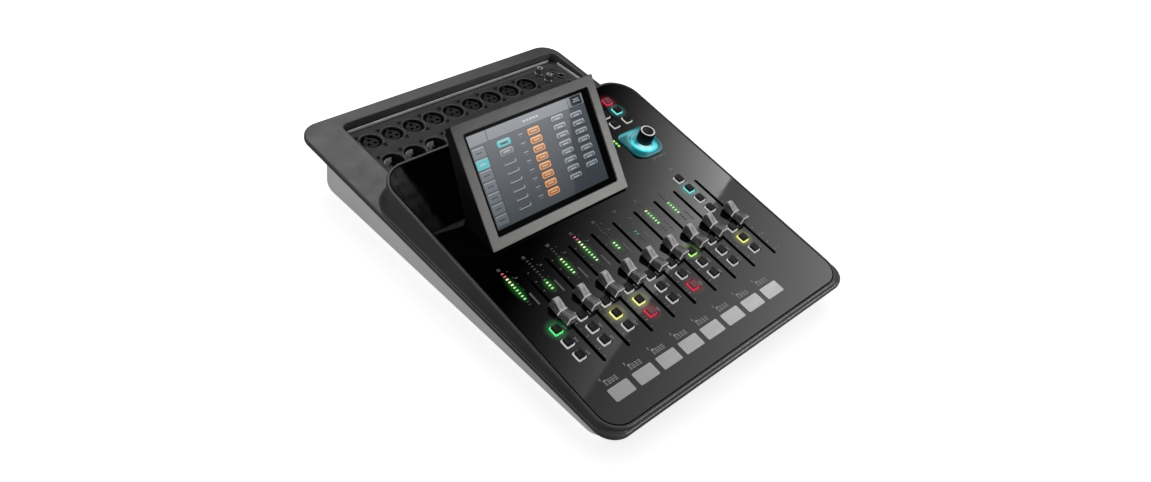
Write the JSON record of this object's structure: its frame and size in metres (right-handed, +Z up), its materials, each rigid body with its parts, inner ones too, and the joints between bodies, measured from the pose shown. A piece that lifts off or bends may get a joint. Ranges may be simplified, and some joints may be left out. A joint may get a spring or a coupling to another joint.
{
  "type": "digital mixing desk",
  "caption": "Compact table-top mixing desk with a sloping control panel of motor faders and lit keys, an encoder, a tilted touch screen and a rear deck of audio sockets.",
  "frame": {"origin": "centre of the desk's footprint, on the table", "axes": "+X to the operator's right, +Y from the front edge to the rear sockets, +Z up"},
  "size_m": [0.3514, 0.4596, 0.1631],
  "materials": {
    "base": "satin light grey",
    "shell": "fine satin dark grey",
    "panel": "gloss charcoal",
    "deck": "satin black",
    "socket": "black",
    "pod": "satin black",
    "bezel": "satin warm silver",
    "glass": "clear over a lit display",
    "lens": "translucent, lit from below",
    "board": "solder-masked board",
    "steel": "plain",
    "cap": "satin silver grey",
    "key": "black top on a milky skirt",
    "knob": "black"
  },
  "bodies": {
    "desk": {"base_tray": "base", "top_shell": "shell", "control_panel": "panel", "connector_panel": "deck", "input_sockets": "socket", "output_sockets": "socket", "main_board": "board", "power_supply": "steel", "screen_housing": "pod", "screen_bezel": "bezel", "touch_screen": "glass", "encoder_lens": "lens"},
    "fader_cap_1": {"fader_cap_1": "cap"},
    "fader_cap_2": {"fader_cap_2": "cap"},
    "fader_cap_3": {"fader_cap_3": "cap"},
    "fader_cap_4": {"fader_cap_4": "cap"},
    "fader_cap_5": {"fader_cap_5": "cap"},
    "fader_cap_6": {"fader_cap_6": "cap"},
    "fader_cap_7": {"fader_cap_7": "cap"},
    "fader_cap_8": {"fader_cap_8": "cap"},
    "master_fader_cap": {"master_fader_cap": "cap"},
    "channel_1_key_1": {"channel_1_key_1": "key"},
    "channel_1_key_2": {"channel_1_key_2": "key"},
    "channel_1_key_3": {"channel_1_key_3": "key"},
    "channel_2_key_1": {"channel_2_key_1": "key"},
    "channel_2_key_2": {"channel_2_key_2": "key"},
    "channel_2_key_3": {"channel_2_key_3": "key"},
    "channel_3_key_1": {"channel_3_key_1": "key"},
    "channel_3_key_2": {"channel_3_key_2": "key"},
    "channel_3_key_3": {"channel_3_key_3": "key"},
    "channel_4_key_1": {"channel_4_key_1": "key"},
    "channel_4_key_2": {"channel_4_key_2": "key"},
    "channel_4_key_3": {"channel_4_key_3": "key"},
    "channel_5_key_1": {"channel_5_key_1": "key"},
    "channel_5_key_2": {"channel_5_key_2": "key"},
    "channel_5_key_3": {"channel_5_key_3": "key"},
    "channel_6_key_1": {"channel_6_key_1": "key"},
    "channel_6_key_2": {"channel_6_key_2": "key"},
    "channel_6_key_3": {"channel_6_key_3": "key"},
    "channel_7_key_1": {"channel_7_key_1": "key"},
    "channel_7_key_2": {"channel_7_key_2": "key"},
    "channel_7_key_3": {"channel_7_key_3": "key"},
    "channel_8_key_1": {"channel_8_key_1": "key"},
    "channel_8_key_2": {"channel_8_key_2": "key"},
    "channel_8_key_3": {"channel_8_key_3": "key"},
    "master_key_1": {"master_key_1": "key"},
    "master_key_2": {"master_key_2": "key"},
    "master_key_3": {"master_key_3": "key"},
    "master_key_4": {"master_key_4": "key"},
    "master_key_5": {"master_key_5": "key"},
    "master_key_6": {"master_key_6": "key"},
    "master_key_7": {"master_key_7": "key"},
    "nav_key_1": {"nav_key_1": "key"},
    "nav_key_2": {"nav_key_2": "key"},
    "nav_key_3": {"nav_key_3": "key"},
    "nav_key_4": {"nav_key_4": "key"},
    "nav_key_5": {"nav_key_5": "key"},
    "encoder_shaft": {"encoder_shaft": "steel"},
    "encoder_knob": {"encoder_knob": "knob"},
    "power_rocker": {"power_rocker": "knob"}
  },
  "joints": [
    {"name": "fader_1_slide", "type": "slide", "parent": "desk", "child": "fader_cap_1", "axis": [0, 0.9877, 0.1564], "range_m": [-0.05, 0.05]},
    {"name": "fader_2_slide", "type": "slide", "parent": "desk", "child": "fader_cap_2", "axis": [0, 0.9877, 0.1564], "range_m": [-0.05, 0.05]},
    {"name": "fader_3_slide", "type": "slide", "parent": "desk", "child": "fader_cap_3", "axis": [0, 0.9877, 0.1564], "range_m": [-0.05, 0.05]},
    {"name": "fader_4_slide", "type": "slide", "parent": "desk", "child": "fader_cap_4", "axis": [0, 0.9877, 0.1564], "range_m": [-0.05, 0.05]},
    {"name": "fader_5_slide", "type": "slide", "parent": "desk", "child": "fader_cap_5", "axis": [0, 0.9877, 0.1564], "range_m": [-0.05, 0.05]},
    {"name": "fader_6_slide", "type": "slide", "parent": "desk", "child": "fader_cap_6", "axis": [0, 0.9877, 0.1564], "range_m": [-0.05, 0.05]},
    {"name": "fader_7_slide", "type": "slide", "parent": "desk", "child": "fader_cap_7", "axis": [0, 0.9877, 0.1564], "range_m": [-0.05, 0.05]},
    {"name": "fader_8_slide", "type": "slide", "parent": "desk", "child": "fader_cap_8", "axis": [0, 0.9877, 0.1564], "range_m": [-0.05, 0.05]},
    {"name": "master_fader_slide", "type": "slide", "parent": "desk", "child": "master_fader_cap", "axis": [0, 0.9877, 0.1564], "range_m": [-0.05, 0.05]},
    {"name": "channel_1_key_1_press", "type": "slide", "parent": "desk", "child": "channel_1_key_1", "axis": [0, 0.1564, -0.9877], "range_m": [0, 0.001]},
    {"name": "channel_1_key_2_press", "type": "slide", "parent": "desk", "child": "channel_1_key_2", "axis": [0, 0.1564, -0.9877], "range_m": [0, 0.001]},
    {"name": "channel_1_key_3_press", "type": "slide", "parent": "desk", "child": "channel_1_key_3", "axis": [0, 0.1564, -0.9877], "range_m": [0, 0.001]},
    {"name": "channel_2_key_1_press", "type": "slide", "parent": "desk", "child": "channel_2_key_1", "axis": [0, 0.1564, -0.9877], "range_m": [0, 0.001]},
    {"name": "channel_2_key_2_press", "type": "slide", "parent": "desk", "child": "channel_2_key_2", "axis": [0, 0.1564, -0.9877], "range_m": [0, 0.001]},
    {"name": "channel_2_key_3_press", "type": "slide", "parent": "desk", "child": "channel_2_key_3", "axis": [0, 0.1564, -0.9877], "range_m": [0, 0.001]},
    {"name": "channel_3_key_1_press", "type": "slide", "parent": "desk", "child": "channel_3_key_1", "axis": [0, 0.1564, -0.9877], "range_m": [0, 0.001]},
    {"name": "channel_3_key_2_press", "type": "slide", "parent": "desk", "child": "channel_3_key_2", "axis": [0, 0.1564, -0.9877], "range_m": [0, 0.001]},
    {"name": "channel_3_key_3_press", "type": "slide", "parent": "desk", "child": "channel_3_key_3", "axis": [0, 0.1564, -0.9877], "range_m": [0, 0.001]},
    {"name": "channel_4_key_1_press", "type": "slide", "parent": "desk", "child": "channel_4_key_1", "axis": [0, 0.1564, -0.9877], "range_m": [0, 0.001]},
    {"name": "channel_4_key_2_press", "type": "slide", "parent": "desk", "child": "channel_4_key_2", "axis": [0, 0.1564, -0.9877], "range_m": [0, 0.001]},
    {"name": "channel_4_key_3_press", "type": "slide", "parent": "desk", "child": "channel_4_key_3", "axis": [0, 0.1564, -0.9877], "range_m": [0, 0.001]},
    {"name": "channel_5_key_1_press", "type": "slide", "parent": "desk", "child": "channel_5_key_1", "axis": [0, 0.1564, -0.9877], "range_m": [0, 0.001]},
    {"name": "channel_5_key_2_press", "type": "slide", "parent": "desk", "child": "channel_5_key_2", "axis": [0, 0.1564, -0.9877], "range_m": [0, 0.001]},
    {"name": "channel_5_key_3_press", "type": "slide", "parent": "desk", "child": "channel_5_key_3", "axis": [0, 0.1564, -0.9877], "range_m": [0, 0.001]},
    {"name": "channel_6_key_1_press", "type": "slide", "parent": "desk", "child": "channel_6_key_1", "axis": [0, 0.1564, -0.9877], "range_m": [0, 0.001]},
    {"name": "channel_6_key_2_press", "type": "slide", "parent": "desk", "child": "channel_6_key_2", "axis": [0, 0.1564, -0.9877], "range_m": [0, 0.001]},
    {"name": "channel_6_key_3_press", "type": "slide", "parent": "desk", "child": "channel_6_key_3", "axis": [0, 0.1564, -0.9877], "range_m": [0, 0.001]},
    {"name": "channel_7_key_1_press", "type": "slide", "parent": "desk", "child": "channel_7_key_1", "axis": [0, 0.1564, -0.9877], "range_m": [0, 0.001]},
    {"name": "channel_7_key_2_press", "type": "slide", "parent": "desk", "child": "channel_7_key_2", "axis": [0, 0.1564, -0.9877], "range_m": [0, 0.001]},
    {"name": "channel_7_key_3_press", "type": "slide", "parent": "desk", "child": "channel_7_key_3", "axis": [0, 0.1564, -0.9877], "range_m": [0, 0.001]},
    {"name": "channel_8_key_1_press", "type": "slide", "parent": "desk", "child": "channel_8_key_1", "axis": [0, 0.1564, -0.9877], "range_m": [0, 0.001]},
    {"name": "channel_8_key_2_press", "type": "slide", "parent": "desk", "child": "channel_8_key_2", "axis": [0, 0.1564, -0.9877], "range_m": [0, 0.001]},
    {"name": "channel_8_key_3_press", "type": "slide", "parent": "desk", "child": "channel_8_key_3", "axis": [0, 0.1564, -0.9877], "range_m": [0, 0.001]},
    {"name": "master_key_1_press", "type": "slide", "parent": "desk", "child": "master_key_1", "axis": [0, 0.1564, -0.9877], "range_m": [0, 0.001]},
    {"name": "master_key_2_press", "type": "slide", "parent": "desk", "child": "master_key_2", "axis": [0, 0.1564, -0.9877], "range_m": [0, 0.001]},
    {"name": "master_key_3_press", "type": "slide", "parent": "desk", "child": "master_key_3", "axis": [0, 0.1564, -0.9877], "range_m": [0, 0.001]},
    {"name": "master_key_4_press", "type": "slide", "parent": "desk", "child": "master_key_4", "axis": [0, 0.1564, -0.9877], "range_m": [0, 0.001]},
    {"name": "master_key_5_press", "type": "slide", "parent": "desk", "child": "master_key_5", "axis": [0, 0.1564, -0.9877], "range_m": [0, 0.001]},
    {"name": "master_key_6_press", "type": "slide", "parent": "desk", "child": "master_key_6", "axis": [0, 0.1564, -0.9877], "range_m": [0, 0.001]},
    {"name": "master_key_7_press", "type": "slide", "parent": "desk", "child": "master_key_7", "axis": [0, 0.1564, -0.9877], "range_m": [0, 0.001]},
    {"name": "nav_key_1_press", "type": "slide", "parent": "desk", "child": "nav_key_1", "axis": [0, 0.1564, -0.9877], "range_m": [0, 0.001]},
    {"name": "nav_key_2_press", "type": "slide", "parent": "desk", "child": "nav_key_2", "axis": [0, 0.1564, -0.9877], "range_m": [0, 0.001]},
    {"name": "nav_key_3_press", "type": "slide", "parent": "desk", "child": "nav_key_3", "axis": [0, 0.1564, -0.9877], "range_m": [0, 0.001]},
    {"name": "nav_key_4_press", "type": "slide", "parent": "desk", "child": "nav_key_4", "axis": [0, 0.1564, -0.9877], "range_m": [0, 0.001]},
    {"name": "nav_key_5_press", "type": "slide", "parent": "desk", "child": "nav_key_5", "axis": [0, 0.1564, -0.9877], "range_m": [0, 0.001]},
    {"name": "encoder_push", "type": "slide", "parent": "desk", "child": "encoder_shaft", "axis": [0, 0.1564, -0.9877], "range_m": [0, 0.0006]},
    {"name": "encoder_turn", "type": "hinge", "parent": "encoder_shaft", "child": "encoder_knob", "pos_m": [0.1104, 0.01075, 0.07463], "axis": [0, -0.1564, 0.9877], "continuous": true},
    {"name": "power_rocker_tilt", "type": "hinge", "parent": "desk", "child": "power_rocker", "pos_m": [-0.03, 0.2215, 0.022], "axis": [1, 0, 0], "range_deg": [-14, 0]}
  ]
}
